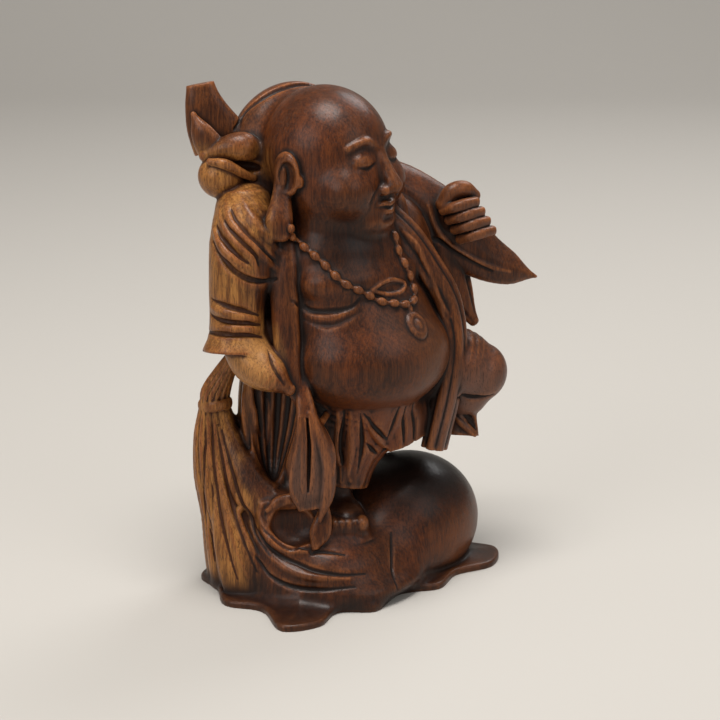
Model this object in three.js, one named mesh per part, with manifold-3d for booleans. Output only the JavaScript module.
// Budai, the stout monk of East Asian folk art, carved from one block of wood.
// He stands on his sack on a wavy plate and carries a knotted bundle on his back.
// Millimetres, +Z up, facing -Y, with the origin under the middle of the plate.

import * as THREE from "three";
import { mergeVertices } from "three/addons/utils/BufferGeometryUtils.js";
import Module from "manifold-3d";

// Driving dimensions
const FIGURE_HEIGHT = 290; // from the plate's top to the crown
const PLATE_LENGTH = 180;
const PLATE_WIDTH = 114;
const PLATE_THICKNESS = 7;
const PLATE_EDGE_RADIUS = 2;
const PLATE_RISE = 3; // from the edge up to the sack's foot
const PLATE_SLOPE = 24; // width of that rise
const BEAD_DIAMETER = 4;
const BEAD_LENGTH = 6.5;
const BEAD_PITCH = 8.2;
const PENDANT_WIDTH = 14;
const PENDANT_HEIGHT = 17;
const PENDANT_THICKNESS = 4.6;
const PENDANT_RIM = 2; // width of the rim round its sunk face
const GOUGE_WIDTH = 4; // width of the carver's fold lines
const GOUGE_DEPTH = 2.2;
const FOLD_WIDTH = 6; // width of the raised folds between them
const FOLD_HEIGHT = 2;

// Fineness of the surface
const CELL = 2; // grid of the contour
const FACES = 9000; // triangles that are kept
const HEAD_FINENESS = 6; // how much more closely the head is kept than the rest

// The figure's own measures below are in 290ths of its height, from the middle of the plate's top.
const UNIT = FIGURE_HEIGHT / 290;
const DEGREE = Math.PI / 180;

// Frames place a group of marks: a turn about Z, a nod about X and a lean about Y, at a point.

function frame(origin, { yaw = 0, nod = 0, lean = 0 } = {}) {
  const turn = new THREE.Matrix4().makeRotationFromEuler(
    new THREE.Euler(nod * DEGREE, lean * DEGREE, yaw * DEGREE, "ZXY"),
  );
  return turn.setPosition(...origin);
}

const STAND = frame([0, 0, 0]);

function place(point, where) {
  const placed = new THREE.Vector3(...point).applyMatrix4(where).multiplyScalar(UNIT);
  placed.z += PLATE_THICKNESS;
  return placed;
}

function axesOf(where, yaw = 0, nod = 0, lean = 0) {
  const inner = frame([0, 0, 0], { yaw, nod, lean });
  const x = new THREE.Vector3();
  const y = new THREE.Vector3();
  const z = new THREE.Vector3();
  new THREE.Matrix4().extractRotation(where).multiply(inner).extractBasis(x, y, z);
  return [x, y, z];
}

// Shapes are distances from a surface, negative inside, with the box that holds them.

function boxAround(points, reach) {
  const box = new THREE.Box3().setFromPoints(points).expandByScalar(reach);
  return { low: box.min, high: box.max };
}

// An ellipsoid, turned in its frame.
function ball(centre, radii, { where = STAND, yaw = 0, nod = 0, lean = 0 } = {}) {
  const c = place(centre, where);
  const [ax, ay, az] = axesOf(where, yaw, nod, lean);
  const [rx, ry, rz] = radii.map((r) => r * UNIT);
  const least = Math.min(rx, ry, rz);
  const distance = (x, y, z) => {
    const dx = x - c.x;
    const dy = y - c.y;
    const dz = z - c.z;
    const a = (dx * ax.x + dy * ax.y + dz * ax.z) / rx;
    const b = (dx * ay.x + dy * ay.y + dz * ay.z) / ry;
    const h = (dx * az.x + dy * az.y + dz * az.z) / rz;
    const k0 = Math.sqrt(a * a + b * b + h * h);
    const a1 = a / rx;
    const b1 = b / ry;
    const h1 = h / rz;
    const k1 = Math.sqrt(a1 * a1 + b1 * b1 + h1 * h1);
    return k1 > 1e-9 ? Math.max((k0 * (k0 - 1)) / k1, -least) : -least;
  };
  return { distance, ...boxAround([c], Math.max(rx, ry, rz)) };
}

// A form swept along a smooth curve. Each station is [x, y, z, half width, half depth].
// The width lies across the way it faces. Pleats flute it along its length.
function sweep(stations, options = {}) {
  const { where = STAND, facing = [0, -1, 0], square = 2, steps = 5, flat = false } = options;
  const { pleats = 0, depth = 0, sharp = 0.6, phase = 0, fade = [1, 1] } = options;
  const centres = stations.map((s) => place(s, where));
  const curve = new THREE.CatmullRomCurve3(centres, false, "centripetal");
  const widths = new THREE.SplineCurve(stations.map((s) => new THREE.Vector2(s[3], s[4] ?? s[3])));
  const face = new THREE.Vector3(...facing).transformDirection(where);
  const count = (stations.length - 1) * steps;
  const rows = [];
  for (let i = 0; i <= count; i++) {
    const t = i / count;
    const along = curve.getTangent(t);
    const side = new THREE.Vector3().crossVectors(along, face).normalize();
    const up = new THREE.Vector3().crossVectors(side, along);
    const size = widths.getPoint(t).multiplyScalar(UNIT);
    const a = Math.max(0.4, size.x);
    const b = Math.max(0.4, size.y);
    rows.push({ c: curve.getPoint(t), side, up, along, a, b });
  }
  const near = nearestOn(rows.map((r) => r.c));
  const distance = (x, y, z) => {
    const at = near(x, y, z);
    const row = Math.min(Math.floor(at), count - 1);
    const share = at - row;
    const p = rows[row];
    const q = rows[row + 1];
    const mix = (u, v) => u + (v - u) * share;
    const dx = x - mix(p.c.x, q.c.x);
    const dy = y - mix(p.c.y, q.c.y);
    const dz = z - mix(p.c.z, q.c.z);
    const across =
      dx * mix(p.side.x, q.side.x) + dy * mix(p.side.y, q.side.y) + dz * mix(p.side.z, q.side.z);
    const over = dx * mix(p.up.x, q.up.x) + dy * mix(p.up.y, q.up.y) + dz * mix(p.up.z, q.up.z);
    const end = at === 0 ? p.along : q.along;
    const past = at > 0 && at < count ? 0 : Math.abs(dx * end.x + dy * end.y + dz * end.z);
    const a = mix(p.a, q.a);
    const b = mix(p.b, q.b);
    const least = Math.min(a, b);
    const u = Math.abs(across / a);
    const v = Math.abs(over / b);
    const w = flat ? 0 : past / least;
    let swell = 1;
    if (pleats) {
      const t = at / count;
      const angle = Math.atan2(over / b, across / a);
      const wave = Math.pow(Math.abs(Math.sin((pleats / 2) * angle + phase)), sharp);
      swell += depth * (fade[0] + (fade[1] - fade[0]) * t) * (wave - 0.7);
    }
    let rho = Math.sqrt(u * u + v * v + w * w);
    rho = Math.max(rho, 0.05);
    let slope = Math.sqrt((u / a) * (u / a) + (v / b) * (v / b) + (w / least) * (w / least)) / rho;
    if (square !== 2) {
      const us = Math.pow(u, square - 1);
      const vs = Math.pow(v, square - 1);
      const ws = Math.pow(w, square - 1);
      rho = Math.pow(us * u + vs * v + ws * w, 1 / square);
      slope = Math.sqrt((us / a) * (us / a) + (vs / b) * (vs / b) + (ws / least) * (ws / least));
      slope *= Math.pow(rho, 1 - square);
    }
    const wall = Math.max((rho - swell) / slope, -least);
    if (!flat) return wall;
    const before = at < steps ? -beyond(rows[0], x, y, z) : -least;
    const behind = at > count - steps ? beyond(rows[count], x, y, z) : -least;
    return Math.max(wall, before, behind);
  };
  const widest = Math.max(...rows.map((r) => Math.max(r.a, r.b)));
  return { distance, ...boxAround(rows.map((r) => r.c), widest * (1 + depth)) };
}

// How far a place lies beyond a row, along the sweep.
function beyond({ c, along }, x, y, z) {
  return (x - c.x) * along.x + (y - c.y) * along.y + (z - c.z) * along.z;
}

// Finds where along a chain of points a place is nearest: 2.5 is midway between points 2 and 3.
function nearestOn(points) {
  const last = points.length - 1;
  const px = Float64Array.from(points, (p) => p.x);
  const py = Float64Array.from(points, (p) => p.y);
  const pz = Float64Array.from(points, (p) => p.z);
  const next = (i) => points[i < last ? i + 1 : 0];
  const shrink = Float64Array.from(points, (p, i) => 1 / p.distanceToSquared(next(i)));
  return (x, y, z) => {
    let nearest = Infinity;
    let at = 0;
    for (let i = 0; i < last; i++) {
      const ex = px[i + 1] - px[i];
      const ey = py[i + 1] - py[i];
      const ez = pz[i + 1] - pz[i];
      const dx = x - px[i];
      const dy = y - py[i];
      const dz = z - pz[i];
      const t = (dx * ex + dy * ey + dz * ez) * shrink[i];
      const s = t < 0 ? 0 : t > 1 ? 1 : t;
      const fx = dx - s * ex;
      const fy = dy - s * ey;
      const fz = dz - s * ez;
      const far = fx * fx + fy * fy + fz * fz;
      if (far < nearest) {
        nearest = far;
        at = i + s;
      }
    }
    return at;
  };
}

// Where two surfaces meet, they are rounded over a width of k.
function joined(a, b, k) {
  const h = Math.max(k - Math.abs(a - b), 0) / k;
  return Math.min(a, b) - (h * h * k) / 4;
}

// Clay takes marks one after another: what is added, and what is cut away.
// A mark counts only within reach of its box, so far from the surface the distance is rough.
const REACH = 3 * CELL;

class Clay {
  constructor() {
    this.marks = [];
  }
  mark(shape, sign, blend) {
    const reach = blend * UNIT + REACH;
    const low = shape.low.clone().subScalar(reach);
    const high = shape.high.clone().addScalar(reach);
    this.marks.push({ distance: shape.distance, low, high, sign, blend: blend * UNIT });
  }
  add(shape, blend = 3) {
    this.mark(shape, 1, blend);
  }
  cut(shape, blend = 1) {
    this.mark(shape, -1, blend);
  }
  distance(x, y, z, marks = this.marks) {
    let d = 50;
    for (let i = 0; i < marks.length; i++) {
      const m = marks[i];
      if (x < m.low.x || y < m.low.y || z < m.low.z) continue;
      if (x > m.high.x || y > m.high.y || z > m.high.z) continue;
      const other = m.distance(x, y, z);
      if (m.sign > 0) d = joined(d, other, m.blend);
      else d = -joined(-d, other, m.blend);
    }
    return d;
  }
  // The whole clay as one shape, to be joined to other clay with a crisp edge.
  shape() {
    const box = new THREE.Box3();
    for (const m of this.marks) box.union(new THREE.Box3(m.low, m.high));
    return { distance: (x, y, z) => this.distance(x, y, z), low: box.min, high: box.max };
  }
  normal(p) {
    const e = 0.4;
    return new THREE.Vector3(
      this.distance(p.x + e, p.y, p.z) - this.distance(p.x - e, p.y, p.z),
      this.distance(p.x, p.y + e, p.z) - this.distance(p.x, p.y - e, p.z),
      this.distance(p.x, p.y, p.z + e) - this.distance(p.x, p.y, p.z - e),
    ).normalize();
  }
  // The surface's point nearest to a point, and its normal there.
  skin(point) {
    const p = point.clone();
    let n = this.normal(p);
    for (let i = 0; i < 8; i++) {
      p.addScaledVector(n, -0.8 * this.distance(p.x, p.y, p.z));
      n = this.normal(p);
    }
    return { p, n };
  }
  // Points on the surface along a smooth line through a few points near it.
  trace(points, { where = STAND, pitch = 2.5 } = {}) {
    const curve = new THREE.CatmullRomCurve3(points.map((p) => place(p, where)));
    const count = Math.max(2, Math.round(curve.getLength() / pitch));
    return curve.getSpacedPoints(count).map((p) => this.skin(p));
  }
}

// A row of balls along a traced line, sunk or raised, whose size fades at the ends.
function bead(trace, radius, lift, taper = 0.35) {
  const last = trace.length - 1;
  const rows = trace.map(({ p, n }, i) => {
    const fromEnd = Math.min(i, last - i) / last;
    const share = taper > 0 ? Math.min(1, fromEnd / taper) : 1;
    const r = radius * (0.35 + 0.65 * share);
    return { c: p.clone().addScaledVector(n, lift * r * (2 - share)), r };
  });
  const near = nearestOn(rows.map((r) => r.c));
  const distance = (x, y, z) => {
    const at = near(x, y, z);
    const row = Math.min(Math.floor(at), last - 1);
    const share = at - row;
    const p = rows[row];
    const q = rows[row + 1];
    const dx = x - p.c.x - (q.c.x - p.c.x) * share;
    const dy = y - p.c.y - (q.c.y - p.c.y) * share;
    const dz = z - p.c.z - (q.c.z - p.c.z) * share;
    return Math.sqrt(dx * dx + dy * dy + dz * dz) - p.r - (q.r - p.r) * share;
  };
  return { distance, ...boxAround(rows.map((r) => r.c), radius) };
}

// A gouge cuts a fold line into the surface.
function gouge(clay, line, size = 1, options = {}) {
  const width = GOUGE_WIDTH * size;
  const depth = GOUGE_DEPTH * size;
  const radius = (width * width) / (8 * depth) + depth / 2;
  clay.cut(bead(clay.trace(line, options), radius, 1 - depth / radius), 0.8);
}

// A ridge raises a fold on the surface.
function ridge(clay, line, size = 1, options = {}) {
  const width = FOLD_WIDTH * size;
  const height = FOLD_HEIGHT * size;
  const radius = (width * width) / (8 * height) + height / 2;
  clay.add(bead(clay.trace(line, options), radius, height / radius - 1), 1.2);
}

// The plate's outline has lobes and notches, as shares of its half length and half width.
const PLATE_OUTLINE = [
  [-0.98, 0.1], [-0.86, -0.26], [-0.95, -0.78], [-0.72, -0.93], [-0.48, -0.76], [-0.3, -1],
  [-0.02, -0.77], [0.26, -0.98], [0.5, -0.82], [0.8, -0.88], [1, -0.6], [0.9, -0.2],
  [0.98, 0.25], [0.82, 0.72], [0.5, 0.86], [0.2, 1], [-0.15, 0.88], [-0.5, 0.98],
  [-0.82, 0.86], [-0.86, 0.5],
];

function plate() {
  const halfLength = PLATE_LENGTH / 2;
  const halfWidth = PLATE_WIDTH / 2;
  const curve = new THREE.CatmullRomCurve3(
    PLATE_OUTLINE.map(([x, y]) => new THREE.Vector3(x * halfLength, y * halfWidth, 0)),
    true,
  );
  const outline = curve.getPoints(72);
  const top = PLATE_THICKNESS;
  const under = -PLATE_THICKNESS;
  const distance = (x, y, z) => {
    let far = Infinity;
    let inside = false;
    for (let i = 0; i < outline.length - 1; i++) {
      const p = outline[i];
      const q = outline[i + 1];
      const ex = q.x - p.x;
      const ey = q.y - p.y;
      const t = ((x - p.x) * ex + (y - p.y) * ey) / (ex * ex + ey * ey + 1e-9);
      const s = t < 0 ? 0 : t > 1 ? 1 : t;
      far = Math.min(far, Math.hypot(x - p.x - s * ex, y - p.y - s * ey));
      if (p.y > y !== q.y > y && x < p.x + ((y - p.y) / ey) * ex) inside = !inside;
    }
    const side = (inside ? -far : far) + PLATE_EDGE_RADIUS;
    const slope = THREE.MathUtils.smoothstep(-side, 0, PLATE_SLOPE) - 1;
    const rise = Math.max(z - top - slope * PLATE_RISE, under - z) + PLATE_EDGE_RADIUS;
    const out = Math.hypot(Math.max(side, 0), Math.max(rise, 0));
    return out + Math.min(Math.max(side, rise), 0) - PLATE_EDGE_RADIUS;
  };
  const corners = [
    new THREE.Vector3(-halfLength, -halfWidth, under),
    new THREE.Vector3(halfLength, halfWidth, top),
  ];
  return { distance, ...boxAround(corners, 3) };
}

// The sack lies on the plate, and its gathered neck rises to the right fist.
function carveSack(clay) {
  clay.add(ball([39, -7, 20], [47, 41, 41]), 3);
  clay.add(ball([-18, -3, 10], [52, 45, 27]), 16);
  clay.add(ball([-43, 6, 26], [27, 31, 34]), 8);
  clay.add(ball([-16, -34, 2], [34, 22, 8], { yaw: -10 }), 8);
  const neck = [
    [-62, 27, 136, 4, 4.5],
    [-66, 33, 123, 6, 6.5],
    [-69, 37, 112, 7.5, 9],
    [-69, 39, 104, 7, 9],
    [-67, 40, 88, 11, 14],
    [-63, 37, 64, 17, 20],
    [-55, 31, 36, 23, 26],
    [-50, 28, 6, 27, 29],
  ];
  const pleated = { facing: [-1, 0, 0], pleats: 15, depth: 0.17, fade: [1, 0.3], phase: 0.4 };
  clay.add(sweep(neck, pleated), 4);
  // the tie round the neck
  const tie = [
    [-77, 42, 104, 1.6, 3],
    [-76, 33, 105, 1.8, 3.4],
    [-71, 29, 106, 1.8, 3.4],
    [-63, 31, 106, 1.5, 3],
  ];
  clay.add(sweep(tie, { facing: [0, 0, 1] }), 1);
  // the cloth that runs from the neck round to the lip, and the panel beside it
  const inner = [
    [-65, 36, 102, 3, 4],
    [-65, 29, 86, 5, 5],
    [-65, 20, 70, 9, 6],
    [-62, 9, 56, 11, 6],
    [-57, -1, 51, 9, 5],
    [-53, -10, 53, 5, 4],
  ];
  clay.add(sweep(inner, { facing: [-0.75, -0.6, 0.3], square: 2.4 }), 5);
  const panel = [
    [-71, 24, 62, 4, 3],
    [-74, 12, 36, 8, 4],
    [-71, -1, 14, 9, 4],
    [-65, -12, 2, 3, 2],
  ];
  clay.add(sweep(panel, { facing: [-0.8, -0.5, 0] }), 3);
}

const FOOT_TURN = -30; // the standing foot's turn to the right

// The robe's tail and the skirt hang below the belly, over the standing leg.
function carveLegs(clay) {
  const robe = [
    [-10, 13, 150, 42, 33],
    [-16, 18, 110, 43, 33],
    [-18, 19, 80, 41, 31],
    [-18, 18, 46, 37, 29],
  ];
  clay.add(sweep(robe, { pleats: 18, depth: 0.1, fade: [0.3, 1], flat: true }), 3);
  clay.cut(ball([-53, 3, 86], [17, 16, 32]), 3);
  clay.cut(ball([10, -40, 52], [38, 38, 34]), 3);
  const skirt = [
    [4, -9, 122, 40, 36],
    [-1, -9, 96, 32, 30],
    [-9, -9, 74, 21, 20],
    [-13, -9, 56, 16, 16],
  ];
  clay.add(sweep(skirt, { pleats: 16, depth: 0.06, fade: [0.4, 1], flat: true, phase: 0.5 }), 2);
  // the standing leg and its foot
  clay.add(sweep([[-13, -6, 66, 9, 9], [-14, -8, 50, 8, 8], [-15, -10, 42, 8.5, 9]]), 2);
  clay.add(ball([-17, -17, 41], [9, 14, 6.5], { yaw: FOOT_TURN }), 3);
  const foot = frame([-17, -17, 39.5], { yaw: FOOT_TURN });
  for (let toe = 0; toe < 5; toe++) {
    const size = toe === 4 ? 3.2 : 2.5;
    const front = toe === 4 ? -14 : -12.5;
    clay.add(ball([(toe - 2) * 3.9, front, 0], [size, 4.4, size], { where: foot }), 1);
  }
  // the raised thigh, the knee and the shin behind it
  const thigh = [
    [24, -4, 116, 26, 24],
    [46, -18, 120, 25, 25],
    [62, -29, 118, 22, 21],
    [72, -35, 113, 18, 17],
  ];
  clay.add(sweep(thigh), 6);
  clay.add(sweep([[66, -30, 100, 14, 14], [60, -4, 90, 13, 12], [52, 20, 80, 10, 9]]), 4);
  clay.add(ball([48, 27, 68], [8, 7, 15], { nod: -12 }), 4);
  const hem = [
    [66, -26, 96, 12, 10],
    [66, -22, 84, 11, 8],
    [71, -21, 71, 11, 6],
  ];
  const hung = { facing: [-0.64, -0.77, 0], pleats: 5, depth: 0.25, flat: true, square: 2.5 };
  clay.add(sweep(hem, hung), 2);
  // the skirt over the thigh, gathered in pleats
  const fold = [
    [18, -22, 108, 20, 13],
    [20, -26, 92, 21, 12],
    [22, -28, 80, 20, 9],
  ];
  const gathered = { facing: [0.2, -1, 0], pleats: 10, depth: 0.06, flat: true, square: 2.6 };
  clay.add(sweep(fold, gathered), 2);
}

// The cloth that falls from the right fist to a curled lip of the sack, and its pointed tail
function carveFlap(clay) {
  const facing = [-0.64, -0.77, 0];
  clay.cut(ball([-56, -18, 44], [14, 9, 12], { yaw: -40 }), 1.5);
  ridge(clay, [[-60, 4, 52], [-66, -1, 43], [-66, -9, 34], [-59, -19, 28], [-48, -26, 29]], 1.3);
  const cloth = [
    [-46, -17, 122, 3.5, 4],
    [-47, -20, 106, 6, 5],
    [-46, -22, 92, 8.5, 5],
    [-47, -23, 77, 11, 5],
    [-48, -24, 64, 12, 5],
    [-47, -26, 53, 9, 4],
  ];
  clay.add(sweep(cloth, { facing, flat: true, square: 3 }), 1.5);
  const tail = [
    [-46, -22, 110, 2.5, 4],
    [-42, -27, 93, 4, 5.5],
    [-40, -30, 77, 4.6, 6],
    [-42, -31, 61, 4.6, 5],
    [-46, -30, 46, 1, 1.5],
  ];
  clay.add(sweep(tail, { facing }), 0.8);
  const slit = [
    [-52, -26, 106, 0.8, 3],
    [-53, -28, 93, 1.6, 6],
    [-54, -29, 78, 1.9, 6],
    [-54, -29, 66, 1.2, 3],
  ];
  clay.cut(sweep(slit, { facing }), 0.6);
}

// The chest and the belly are shaped by themselves, so they overhang the cloth in a crisp line.
function carveTorso(clay) {
  const trunk = new Clay();
  trunk.add(ball([0, 12, 168], [48, 33, 58]), 8);
  trunk.add(ball([-2, 0, 192], [40, 31, 30]), 8);
  trunk.add(ball([5, -13, 134], [51, 43, 36]), 10);
  trunk.add(ball([3, -9, 162], [43, 31, 26]), 12);
  trunk.add(ball([40, 0, 182], [20, 20, 34]), 6);
  trunk.add(ball([-6, 4, 212], [30, 28, 18]), 6);
  trunk.add(ball([-16, -14, 182], [29, 18.5, 15], { yaw: -14 }), 3);
  trunk.add(ball([18, -14, 182], [26, 18, 15], { yaw: 16 }), 3);
  clay.add(trunk.shape(), 1.5);
}

// The open robe's two front edges: the right one to the hand, the left one beside the belly.
function carveRobe(clay) {
  const right = [
    [-38, 14, 214, 7, 6],
    [-44, 3, 196, 8, 6],
    [-48, -2, 172, 8, 5],
    [-49, -5, 150, 8, 5],
    [-50, -9, 130, 7, 5],
    [-47, -15, 114, 4, 3],
  ];
  clay.add(sweep(right, { facing: [-0.8, -0.6, 0], square: 2.6 }), 1.5);
  const left = [
    [16, -8, 216, 8, 7],
    [27, -20, 200, 9, 7],
    [37, -27, 182, 9, 7],
    [46, -33, 162, 9, 7],
    [49, -37, 138, 8, 7],
    [45, -38, 108, 9, 7],
    [39, -36, 73, 10, 6],
  ];
  const folded = { facing: [0.1, -1, 0], pleats: 6, depth: 0.3, flat: true, square: 2.4, phase: 0.3 };
  clay.add(sweep(left, folded), 1.5);
}

// The right arm hangs in its sleeve, and the fist grips the sack's neck.
function carveRightArm(clay) {
  clay.add(ball([-48, 33, 217], [18, 17, 17]), 4);
  const sleeve = [
    [-50, 33, 224, 13, 13],
    [-54, 27, 214, 18, 18],
    [-57, 22, 202, 21, 20],
    [-61, 20, 190, 19.5, 19],
    [-64, 20, 176, 17, 17],
    [-66, 19, 161, 15.5, 16],
    [-67, 18, 149, 16.5, 17],
    [-68, 17, 141, 20, 19.5],
  ];
  clay.add(sweep(sleeve, { facing: [-1, -0.2, 0], flat: true }), 4);
  const arm = [
    [-64, 16, 147, 13, 12],
    [-65, 5, 137, 13, 12],
    [-61, -7, 130, 10, 9],
    [-56, -13, 124, 5, 5],
  ];
  clay.add(sweep(arm, { square: 2.3 }), 1);
}

// The left fist holds the bundle's end at the shoulder.
function carveLeftArm(clay) {
  clay.add(sweep([[40, 12, 204, 20, 20], [58, 12, 190, 17, 17], [68, 8, 180, 15, 15]]), 5);
  clay.add(sweep([[68, 8, 180, 15, 14], [74, -4, 190, 12, 12], [76, -10, 200, 9, 9]]), 3);
  const sleeve = [
    [60, 2, 190, 17, 13],
    [66, -8, 172, 15, 10],
    [72, -16, 154, 10, 6],
    [79, -23, 140, 3, 2],
  ];
  clay.add(sweep(sleeve, { facing: [-0.3, -0.9, 0], pleats: 5, depth: 0.3 }), 1.5);
  const band = [
    [12, 30, 224, 14, 10],
    [40, 14, 224, 15, 11],
    [56, 0, 212, 17, 10],
    [69, -11, 197, 18, 9],
    [86, -21, 180, 15, 8],
    [103, -29, 170, 10, 6],
    [118, -35, 164, 1, 1],
  ];
  clay.add(sweep(band, { facing: [-0.64, -0.6, 0.5], square: 1.6 }), 1.5);
  // the fist, its thumb, and the hollow of the palm
  clay.add(ball([71, -15, 207], [13, 10, 16], { lean: -25 }), 1.5);
  const thumb = [
    [58, -17, 214, 4, 5],
    [63, -19, 221, 5, 5],
    [71, -21, 222, 5, 5],
    [79, -21, 217, 4, 4],
  ];
  clay.add(sweep(thumb), 1.2);
  clay.cut(ball([54, -22, 200], [7, 7, 8]), 1);
  for (let finger = 0; finger < 4; finger++) {
    const x = 57 + 2.9 * finger;
    const y = -19 - 1.8 * finger;
    const z = 211 - 5.9 * finger;
    const roll = [
      [x, y, z, 2.7],
      [x + 2, y - 6, z + 2.5, 3],
      [x + 7, y - 9, z + 4, 3.1],
      [x + 17, y - 8, z + 4, 3],
    ];
    clay.add(sweep(roll, { square: 2.8 }), 0.6);
  }
}

// The bundle on the back, with its rim behind the head and its knot at the right shoulder
function carveBundle(clay) {
  clay.add(ball([-5, 45, 239], [45, 27, 46]), 2);
  clay.add(ball([-57, 44, 237], [13.5, 13, 13]), 1.5);
  const broadLeaf = [
    [-50, 53, 254, 17, 6],
    [-55, 56, 266, 14.5, 5.5],
    [-58, 58, 277, 11, 5],
    [-59, 60, 288, 8, 4],
  ];
  clay.add(sweep(broadLeaf, { facing: [-0.6, -0.75, 0.25], flat: true, square: 2.4 }), 1);
  const pointedLeaf = [
    [-56, 47, 246, 9, 6],
    [-61, 49, 254, 9, 5.5],
    [-65, 52, 263, 6.5, 4],
    [-67, 56, 272, 1.5, 1.5],
  ];
  clay.add(sweep(pointedLeaf, { facing: [-0.7, -0.6, -0.4] }), 0.8);
  const loop = [
    [-64, 49, 249, 4, 4],
    [-56, 41, 253, 7, 7],
    [-48, 35, 254, 8.5, 8],
    [-40, 34, 251, 6, 6],
  ];
  clay.add(sweep(loop, { facing: [-0.5, -0.7, 0.5] }), 0.8);
  clay.cut(ball([-48, 31, 243], [9, 8, 3.4], { lean: 10 }), 1);
  clay.add(sweep([[-67, 41, 247, 2], [-62, 34, 246, 3], [-52, 31, 240, 2.6], [-44, 31, 236, 2]]), 0.8);
  gouge(clay, [[-34, 66, 256], [-21, 68, 268], [-6, 68, 276], [12, 66, 279], [28, 60, 270]], 1.1);
}

// The head has its own frame, turned to the figure's left and tipped back a little.
const HEAD = frame([-8, 7, 245.5], { yaw: 17, nod: -6 });
const HEAD_BASE = PLATE_THICKNESS + 205 * UNIT;

function carveHead(clay) {
  const where = HEAD;
  clay.add(ball([0, 2, 6], [34, 38, 37], { where }), 5);
  clay.add(ball([0, -6, -13], [34, 32, 30], { where }), 6);
  clay.add(ball([0, -26, -33], [15, 12, 9], { where }), 7);
  for (const side of [-1, 1]) {
    clay.add(ball([side * 18, -24, -14], [14, 12, 13], { where }), 7);
    clay.add(ball([side * 13, -31, 1], [7.5, 5, 5.5], { where }), 3);
    const brow = [
      [side * 4, -34, 9, 1.4],
      [side * 12, -34, 13, 1.8],
      [side * 21, -28, 10, 1.2],
    ];
    clay.add(sweep(brow, { where }), 3);
    // the ear: its rim, its bowl, and the ridge and the flap of skin in the bowl
    const turned = { where, yaw: side * 14, nod: 10 };
    clay.add(ball([side * 35.5, 5, -2], [4.5, 10, 13], turned), 1.5);
    clay.cut(ball([side * 39.5, 2, -3], [3.6, 7, 9], turned), 1);
    clay.add(ball([side * 37, 6.5, -4], [1.6, 2, 7], { where, nod: 10 }), 1);
    clay.add(ball([side * 36, -3.5, -6], [2.2, 2.4, 3.6], { where }), 1.5);
    gouge(clay, [[side * 7, -38, 0], [side * 13, -38, -2.5], [side * 20, -33, -1]], 0.6, { where });
    gouge(clay, [[side * 7, -39, -12], [side * 12, -38, -19], [side * 13, -35, -26]], 0.8, { where });
  }
  clay.add(sweep([[0, -33, 8, 3.2], [0, -38, -4, 3.8], [0, -43, -14, 4.6]], { where }), 3);
  clay.add(ball([-4.6, -39, -16], [3.6, 4.4, 3.2], { where }), 1.5);
  clay.add(ball([4.6, -39, -16], [3.6, 4.4, 3.2], { where }), 1.5);
  clay.add(ball([0, -34, -24.5], [9, 5, 2.6], { where }), 2.5);
  clay.add(ball([0, -33.5, -29], [7.5, 5, 2.8], { where }), 2.5);
  // the long lobes hang down beside the neck
  const lobe = [
    [-43, 6, 237, 4.5, 4],
    [-46, 3, 227, 6, 5],
    [-49, 1, 218, 7.8, 6],
    [-50, 1, 211, 7.4, 5.5],
  ];
  clay.add(sweep(lobe, { facing: [-0.6, -0.75, 0], square: 2.5 }), 1);
  clay.add(sweep([[28, -18, 226, 4, 4], [28, -15, 214, 5, 5], [28, -14, 206, 5.5, 5]]), 1);
}

// Raised folds: each is a line near the surface, with its share of the full width and height.
const RAISED_FOLDS = [
  // the right sleeve, from the shoulder down round its front
  [1.1, [-64, 29, 226], [-69, 20, 218], [-69, 14, 213], [-67, 8, 207], [-63, 3, 202], [-52, 0, 190]],
  [1, [-70, 29, 221], [-73, 20, 214], [-73, 13, 210], [-71, 7, 205], [-68, 3, 200], [-64, 3, 187]],
  [1.1, [-74, 31, 212], [-76, 23, 208], [-77, 15, 202], [-74, 8, 197], [-68, 3, 192]],
  [1, [-60, 22, 230], [-61, 12, 220], [-59, 5, 213], [-54, 2, 207], [-48, -2, 197]],
  [0.9, [-81, 24, 168], [-80, 12, 167], [-74, 6, 165], [-61, 4, 161]],
  [0.9, [-81, 18, 158], [-78, 9, 158], [-72, 4, 158], [-60, 4, 154]],
  // the skirt's pleats, and the V of its gathered cloth
  [0.9, [-31, -18, 110], [-38, -26, 94], [-41, -33, 74]],
  [0.8, [-28, -25, 107], [-27, -23, 88], [-28, -26, 62]],
  [0.9, [-24, -31, 107], [-21, -28, 89], [-20, -26, 62]],
  [0.8, [-15, -36, 102], [-10, -35, 93], [-5, -34, 87], [1, -34, 80]],
  // the sack's pleats, from its neck round to its front
  [
    0.9, [-74, 22, 65], [-73, 16, 53], [-73, 9, 45], [-71, 2, 34], [-66, -4, 25], [-64, -13, 21],
    [-62, -24, 17], [-57, -32, 15], [-46, -39, 13], [-36, -44, 12],
  ],
  [0.8, [-79, 24, 52], [-78, 14, 38], [-78, 7, 30], [-76, 1, 22], [-73, -5, 12], [-71, -11, 4]],
  // the robe's left edge, and the cloth over the left shoulder
  [0.6, [21, -25, 205], [27, -28, 198], [31, -32, 186], [35, -35, 175], [38, -38, 164], [44, -41, 153]],
  [0.7, [53, -10, 213], [56, -13, 200], [63, -16, 190], [73, -23, 181], [86, -30, 174], [98, -34, 170]],
];

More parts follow.
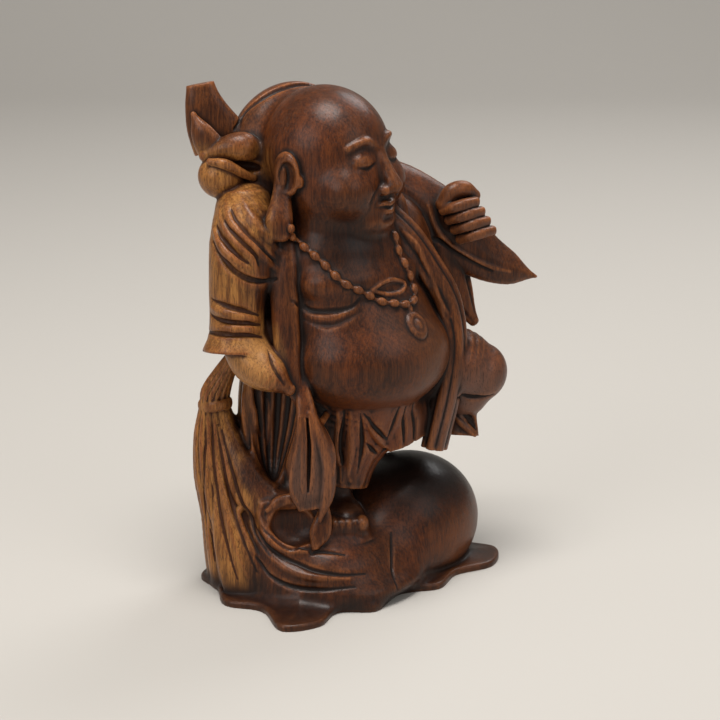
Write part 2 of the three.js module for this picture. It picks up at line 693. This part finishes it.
// Fold lines cut last, in the same way
const FOLD_LINES = [
  // the right sleeve, from the shoulder round the elbow
  [1.2, [-77, 27, 205], [-77, 13, 195], [-73, 9, 190], [-67, 5, 186], [-60, 3, 184], [-50, 1, 184]],
  [0.8, [-74, 27, 214], [-76, 20, 209], [-75, 15, 204], [-73, 8, 199], [-70, 3, 196]],
  [0.8, [-72, 20, 217], [-72, 13, 212], [-70, 6, 206], [-66, 2, 201], [-64, 1, 194]],
  [0.9, [-68, 20, 223], [-69, 13, 216], [-66, 5, 209], [-61, 1, 202], [-53, 2, 195]],
  [1, [-82, 24, 173], [-80, 16, 172], [-76, 10, 170], [-71, 6, 168], [-62, 4, 164]],
  [1, [-82, 26, 164], [-79, 15, 162], [-73, 7, 161], [-60, 4, 158]],
  [1.1, [-80, 30, 152], [-79, 13, 154], [-71, 5, 154], [-61, 3, 151]],
  // the sack's pleats from its neck round its front, and its seam
  [
    1.1, [-76, 24, 62], [-73, 19, 56], [-71, 10, 45], [-68, -2, 34], [-66, -11, 27], [-57, -24, 20],
    [-53, -33, 18], [-40, -43, 15], [-26, -46, 13],
  ],
  [1, [-79, 22, 44], [-77, 13, 34], [-74, 2, 24], [-71, -8, 14], [-64, -22, 9], [-50, -36, 7], [-34, -46, 6]],
  [0.9, [-70, -3, 41], [-65, -14, 34], [-62, -20, 30], [-55, -22, 28], [-47, -27, 26], [-34, -38, 24]],
  [0.9, [2, -37, 29], [-1, -40, 23], [-4, -44, 15], [-6, -49, 8], [-8, -54, 2]],
  [1.1, [-80, 31, 32], [-79, 29, 22], [-79, 28, 12]],
  // the creases under the breasts
  [0.9, [-48, -9, 173], [-40, -14, 167], [-37, -21, 167], [-30, -28, 168], [-19, -33, 174]],
  [0.8, [-44, -10, 162], [-39, -19, 160], [-33, -27, 160], [-26, -31, 163], [-17, -35, 168]],
  // the skirt's gathered folds
  [0.9, [-18, -36, 106], [-9, -35, 96], [0, -36, 86]],
  [0.9, [3, -43, 107], [2, -38, 99], [0, -35, 88]],
  [0.9, [-12, -30, 87], [-7, -31, 80], [-3, -32, 76]],
  [0.8, [9, -42, 106], [10, -39, 93], [11, -38, 81]],
  [0.8, [17, -42, 105], [19, -39, 92], [20, -39, 79]],
  [1, [-19, -34, 106], [-16, -32, 90], [-15, -30, 66]],
  [0.7, [-26, -28, 108], [-25, -25, 88], [-25, -26, 62]],
  // long folds down the back and across the bundle
  [1.2, [-30, 46, 205], [-20, 48, 180], [-16, 47, 160]],
  [1.2, [24, 45, 205], [14, 48, 182], [8, 48, 160]],
  [1.2, [-44, 60, 236], [-24, 70, 250], [4, 72, 248], [30, 64, 232]],
  [1.2, [-42, 58, 222], [-20, 69, 228], [4, 71, 222], [28, 62, 210]],
  [1.2, [-38, 50, 262], [-18, 62, 274], [6, 64, 272], [28, 56, 258]],
  // the crease under the raised knee, and the cloth over the left shoulder
  [1, [47, -43, 104], [59, -43, 102], [72, -46, 104]],
  [0.9, [48, -8, 207], [52, -13, 197], [60, -18, 187], [72, -25, 178], [86, -31, 171]],
];

function carveFolds(clay) {
  for (const [size, ...line] of RAISED_FOLDS) ridge(clay, line, size);
  for (const [size, ...line] of FOLD_LINES) gouge(clay, line, size);
}

// The necklace's beads lie on the chest, with the pendant below the lowest bead.
const NECKLACE = [
  [-47, -5, 214], [-40, -5, 205], [-38, -13, 200], [-35, -20, 195], [-32, -27, 189], [-28, -31, 184],
  [-22, -35, 180], [-15, -37, 176], [-8, -39, 172], [1, -40, 169], [9, -42, 168], [17, -40, 169],
  [20, -36, 173], [19, -33, 180], [16, -32, 188], [14, -31, 197], [13, -28, 204],
];
const PENDANT_PLACE = [12, -49, 157];

function beads(clay) {
  const unit = new THREE.IcosahedronGeometry(BEAD_DIAMETER / 2, 0);
  unit.scale(BEAD_LENGTH / BEAD_DIAMETER, 1, 1);
  const strung = clay.trace(NECKLACE, { pitch: BEAD_PITCH });
  return strung.map(({ p, n }, i) => {
    const next = strung[Math.min(i + 1, strung.length - 1)].p;
    const along = next.clone().sub(strung[Math.max(i - 1, 0)].p).normalize();
    const turn = new THREE.Quaternion().setFromUnitVectors(new THREE.Vector3(1, 0, 0), along);
    const sunk = p.clone().addScaledVector(n, BEAD_DIAMETER * 0.15);
    return unit.clone().applyQuaternion(turn).translate(sunk.x, sunk.y, sunk.z);
  });
}

// An oval disc across the pendant, given by its half width and half height and where it starts and ends.
function oval(wasm, halfWidth, halfHeight, from, to) {
  const disc = new THREE.CylinderGeometry(1, 1, to - from, 16);
  disc.translate(0, (from + to) / 2, 0).scale(halfWidth, 1, halfHeight);
  return solidOf(wasm, disc);
}

// The pendant is an oval disc with a rim round a sunk face, and a boss in its middle.
function pendant(wasm, clay) {
  const { p, n } = clay.skin(place(PENDANT_PLACE, STAND));
  const wide = PENDANT_WIDTH / 2;
  const high = PENDANT_HEIGHT / 2;
  const half = PENDANT_THICKNESS / 2;
  const sunk = oval(wasm, wide - PENDANT_RIM, high - PENDANT_RIM, half - 1, half + 1);
  const boss = oval(wasm, wide / 2, high / 2, 0, half);
  const disc = oval(wasm, wide, high, -half, half).subtract(sunk).add(boss);
  const across = new THREE.Vector3().crossVectors(n, new THREE.Vector3(0, 0, 1)).normalize();
  const down = new THREE.Vector3().crossVectors(across, n);
  const placed = new THREE.Matrix4().makeBasis(across, n, down).setPosition(p);
  return disc.transform(placed.elements);
}

function build(wasm) {
  const clay = new Clay();
  clay.add(plate(), 3);
  carveLegs(clay);
  carveSack(clay);
  carveTorso(clay);
  carveRobe(clay);
  carveFlap(clay);
  carveRightArm(clay);
  carveLeftArm(clay);
  carveBundle(clay);
  carveHead(clay);
  carveFolds(clay);
  let solid = solidOf(wasm, thinned(contour(clay), FACES));
  const floor = new THREE.BoxGeometry(PLATE_LENGTH * 4, PLATE_LENGTH * 4, PLATE_LENGTH);
  floor.translate(0, 0, -PLATE_LENGTH / 2);
  solid = largest(solid.subtract(solidOf(wasm, floor)));
  for (const bead of beads(clay)) solid = solid.add(solidOf(wasm, bead));
  return solid.add(pendant(wasm, clay));
}

// The clay's distances on a grid of cells, worked out only in the blocks that the surface crosses.
function gridOf(clay) {
  const block = 4; // cells along a block's side
  const bounds = new THREE.Box3();
  for (const m of clay.marks) {
    if (m.sign > 0) bounds.union(new THREE.Box3(m.low, m.high));
  }
  const low = bounds.min;
  low.z = -PLATE_THICKNESS / 2;
  const size = bounds.max.clone().sub(low).divideScalar(CELL * block).ceil();
  const [nx, ny, nz] = size.toArray().map((n) => n * block + 1);
  const field = new Float32Array(nx * ny * nz);
  const corner = new THREE.Vector3();
  const half = (block * CELL) / 2;
  for (let bz = 0; bz < nz; bz += block) {
    for (let by = 0; by < ny; by += block) {
      for (let bx = 0; bx < nx; bx += block) {
        corner.set(bx, by, bz).multiplyScalar(CELL).add(low);
        const { x, y, z } = corner;
        const box = new THREE.Box3(corner, corner.clone().addScalar(2 * half));
        const near = clay.marks.filter((m) => box.intersectsBox(new THREE.Box3(m.low, m.high)));
        const middle = clay.distance(x + half, y + half, z + half, near);
        const crossed = Math.abs(middle) < 2.6 * half;
        for (let k = bz; k < Math.min(bz + block, nz); k++) {
          for (let j = by; j < Math.min(by + block, ny); j++) {
            for (let i = bx; i < Math.min(bx + block, nx); i++) {
              const dx = (i - bx) * CELL;
              const dy = (j - by) * CELL;
              const dz = (k - bz) * CELL;
              const d = crossed ? clay.distance(x + dx, y + dy, z + dz, near) : middle;
              const shut = k === 0 ? Math.max(d, 1) : d;
              field[i + nx * (j + ny * k)] = shut === 0 ? 1e-6 : shut;
            }
          }
        }
      }
    }
  }
  return { field, low, nx, ny, nz };
}

// Each cell is six tetrahedra, each a walk along three axes from its low corner to its high one.
const CORNERS = [[0, 0, 0], [1, 0, 0], [0, 1, 0], [1, 1, 0], [0, 0, 1], [1, 0, 1], [0, 1, 1], [1, 1, 1]];
const WALKS = [[0, 1, 2], [0, 2, 1], [1, 0, 2], [1, 2, 0], [2, 0, 1], [2, 1, 0]];

// The surface where the distance is 0, as points and triangles that face outwards.
function contour(clay) {
  const { field, low, nx, ny, nz } = gridOf(clay);
  const step = [1, nx, nx * ny];
  const walks = WALKS.map(([a, b, c]) => ({
    offset: [0, step[a], step[a] + step[b], step[0] + step[1] + step[2]],
    turned: (b - a + 3) % 3 === 1,
  }));
  const made = new Map();
  const points = [];
  const faces = [];
  const placeOf = (at) => [at % nx, Math.floor(at / nx) % ny, Math.floor(at / (nx * ny))];
  const crossing = (p, q) => {
    const a = Math.min(p, q);
    const b = Math.max(p, q);
    const key = a * (step[2] + step[1] + 2) + (b - a);
    let found = made.get(key);
    if (found === undefined) {
      const s = Math.min(0.96, Math.max(0.04, field[a] / (field[a] - field[b])));
      const u = placeOf(a);
      const v = placeOf(b);
      found = points.length / 3;
      made.set(key, found);
      for (let n = 0; n < 3; n++) {
        points.push(low.getComponent(n) + (u[n] + s * (v[n] - u[n])) * CELL);
      }
    }
    return found;
  };
  const triangle = (turned, a, b, c) => {
    if (turned) faces.push(a, b, c);
    else faces.push(a, c, b);
  };
  for (let k = 0; k < nz - 1; k++) {
    for (let j = 0; j < ny - 1; j++) {
      for (let i = 0; i < nx - 1; i++) {
        const at = i + nx * (j + ny * k);
        let inside = 0;
        for (const [dx, dy, dz] of CORNERS) {
          if (field[at + dx + dy * step[1] + dz * step[2]] < 0) inside++;
        }
        if (inside === 0 || inside === 8) continue;
        for (const { offset, turned } of walks) {
          const ends = offset.map((o) => at + o);
          const within = [0, 1, 2, 3].filter((n) => field[ends[n]] < 0);
          const outer = [0, 1, 2, 3].filter((n) => field[ends[n]] > 0);
          const order = [...within, ...outer];
          let flips = 0;
          for (let m = 0; m < 4; m++) {
            for (let n = m + 1; n < 4; n++) {
              if (order[m] > order[n]) flips++;
            }
          }
          const way = turned === (flips % 2 === 0);
          const v = order.map((n) => ends[n]);
          if (within.length === 1) {
            triangle(way, crossing(v[0], v[1]), crossing(v[0], v[2]), crossing(v[0], v[3]));
          } else if (within.length === 3) {
            triangle(way, crossing(v[0], v[3]), crossing(v[1], v[3]), crossing(v[2], v[3]));
          } else if (within.length === 2) {
            const a = crossing(v[0], v[2]);
            const b = crossing(v[0], v[3]);
            const c = crossing(v[1], v[3]);
            const d = crossing(v[1], v[2]);
            triangle(way, a, b, c);
            triangle(way, a, c, d);
          }
        }
      }
    }
  }
  return { points, faces };
}

// Thins a closed mesh by collapsing the edges that change its surface least.
function thinned({ points, faces }, target) {
  const total = points.length / 3;
  const p = Float64Array.from(points);
  const around = Array.from({ length: total }, () => new Set());
  const quadric = new Float64Array(total * 10);
  const corner = new THREE.Vector3();
  const u = new THREE.Vector3();
  const v = new THREE.Vector3();
  const normalOf = (a, b, c) => {
    corner.fromArray(p, a * 3);
    u.fromArray(p, b * 3).sub(corner);
    v.fromArray(p, c * 3).sub(corner);
    return new THREE.Vector3().crossVectors(u, v);
  };
  let left = faces.length / 3;
  for (let f = 0; f < left; f++) {
    const [a, b, c] = faces.slice(f * 3, f * 3 + 3);
    const n = normalOf(a, b, c);
    const area = n.length() / 2;
    n.normalize();
    const d = -n.dot(corner);
    const care = area * (corner.z > HEAD_BASE ? HEAD_FINENESS : 1);
    const q = [
      n.x * n.x, n.x * n.y, n.x * n.z, n.x * d, n.y * n.y,
      n.y * n.z, n.y * d, n.z * n.z, n.z * d, d * d,
    ];
    for (const w of [a, b, c]) {
      around[w].add(f);
      for (let i = 0; i < 10; i++) quadric[w * 10 + i] += q[i] * care;
    }
  }
  const error = (q, x, y, z) =>
    q[0] * x * x + 2 * q[1] * x * y + 2 * q[2] * x * z + 2 * q[3] * x + q[4] * y * y +
    2 * q[5] * y * z + 2 * q[6] * y + q[7] * z * z + 2 * q[8] * z + q[9];
  const version = new Int32Array(total);
  const heap = [];
  const swap = (i, j) => ([heap[i], heap[j]] = [heap[j], heap[i]]);
  const push = (e) => {
    heap.push(e);
    for (let i = heap.length - 1; i > 0; ) {
      const up = (i - 1) >> 1;
      if (heap[up].cost <= heap[i].cost) break;
      swap(i, up);
      i = up;
    }
  };
  const pop = () => {
    const top = heap[0];
    const last = heap.pop();
    if (heap.length) {
      heap[0] = last;
      for (let i = 0; ; ) {
        const l = 2 * i + 1;
        if (l >= heap.length) break;
        const least = l + 1 < heap.length && heap[l + 1].cost < heap[l].cost ? l + 1 : l;
        if (heap[i].cost <= heap[least].cost) break;
        swap(i, least);
        i = least;
      }
    }
    return top;
  };
  const matrix = new THREE.Matrix3();
  const offer = (a, b) => {
    const q = new Float64Array(10);
    for (let i = 0; i < 10; i++) q[i] = quadric[a * 10 + i] + quadric[b * 10 + i];
    const mid = [0, 1, 2].map((i) => (p[a * 3 + i] + p[b * 3 + i]) / 2);
    const gap = Math.hypot(...[0, 1, 2].map((i) => p[a * 3 + i] - p[b * 3 + i]));
    const pull = 1e-3 * (q[0] + q[4] + q[7]);
    matrix.set(q[0] + pull, q[1], q[2], q[1], q[4] + pull, q[5], q[2], q[5], q[7] + pull);
    const best = new THREE.Vector3(pull * mid[0] - q[3], pull * mid[1] - q[6], pull * mid[2] - q[8]);
    best.applyMatrix3(matrix.invert());
    const off = Math.hypot(best.x - mid[0], best.y - mid[1], best.z - mid[2]);
    if (!(off < gap)) best.set(...mid);
    const cost = error(q, best.x, best.y, best.z) + 1e-5 * gap * gap * gap * gap;
    push({ cost, a, b, at: best, va: version[a], vb: version[b] });
  };
  const neighbours = (a) => {
    const ring = new Set();
    for (const f of around[a]) {
      for (let i = 0; i < 3; i++) ring.add(faces[f * 3 + i]);
    }
    ring.delete(a);
    return ring;
  };
  for (let a = 0; a < total; a++) {
    for (const b of neighbours(a)) {
      if (a < b) offer(a, b);
    }
  }
  const flips = (a, b, at) => {
    for (const f of around[a]) {
      const face = faces.slice(f * 3, f * 3 + 3);
      if (face.includes(b)) continue;
      const before = normalOf(...face);
      const old = [p[a * 3], p[a * 3 + 1], p[a * 3 + 2]];
      p.set([at.x, at.y, at.z], a * 3);
      const after = normalOf(...face);
      p.set(old, a * 3);
      if (after.dot(before) < 0.25 * after.length() * before.length()) return true;
      if (after.length() < 1e-3) return true;
    }
    return false;
  };
  while (left > target && heap.length) {
    const { a, b, at, va, vb } = pop();
    if (version[a] !== va || version[b] !== vb) continue;
    if (!around[a].size || !around[b].size) continue;
    const ringA = neighbours(a);
    const ringB = neighbours(b);
    if ([...ringA].filter((n) => ringB.has(n)).length !== 2) continue;
    if (ringA.size + ringB.size < 9) continue;
    if (flips(a, b, at) || flips(b, a, at)) continue;
    p.set([at.x, at.y, at.z], a * 3);
    for (let i = 0; i < 10; i++) quadric[a * 10 + i] += quadric[b * 10 + i];
    for (const f of around[b]) {
      const gone = faces.slice(f * 3, f * 3 + 3).includes(a);
      if (gone) {
        for (let i = 0; i < 3; i++) around[faces[f * 3 + i]].delete(f);
        faces.fill(-1, f * 3, f * 3 + 3);
        left -= 1;
      } else {
        const used = faces.indexOf(b, f * 3);
        faces[used] = a;
        around[a].add(f);
      }
    }
    around[b] = new Set();
    version[a] += 1;
    version[b] += 1;
    for (const n of neighbours(a)) offer(a, n);
  }
  const kept = new THREE.BufferGeometry();
  kept.setAttribute("position", new THREE.BufferAttribute(new Float32Array(p), 3));
  kept.setIndex(faces.filter((i) => i >= 0));
  return kept;
}

// A closed geometry as a solid, and a solid as a geometry.
function solidOf(wasm, geometry) {
  const bare = new THREE.BufferGeometry();
  bare.setAttribute("position", geometry.getAttribute("position"));
  if (geometry.index) bare.setIndex(geometry.index);
  const merged = mergeVertices(bare, 1e-4);
  const mesh = new wasm.Mesh({
    numProp: 3,
    vertProperties: merged.attributes.position.array,
    triVerts: new Uint32Array(merged.index.array),
  });
  return new wasm.Manifold(mesh);
}

// The block is one body: hollows shut inside it and loose specks are left out.
function largest(solid) {
  const bodies = solid.decompose();
  return bodies.reduce((a, b) => (b.volume() > a.volume() ? b : a));
}

function geometryOf(solid) {
  const mesh = solid.getMesh();
  const geometry = new THREE.BufferGeometry();
  geometry.setAttribute("position", new THREE.BufferAttribute(mesh.vertProperties, 3));
  geometry.setIndex(new THREE.BufferAttribute(mesh.triVerts, 1));
  geometry.computeVertexNormals();
  return geometry;
}

const wasm = await Module();
wasm.setup();
const wood = new THREE.MeshStandardMaterial({ color: 0x5a3418, roughness: 0.45, metalness: 0 });
const figure = new THREE.Mesh(geometryOf(build(wasm)), wood);
figure.name = "budai_figure";
const root = new THREE.Group();
root.add(figure);
export default root;
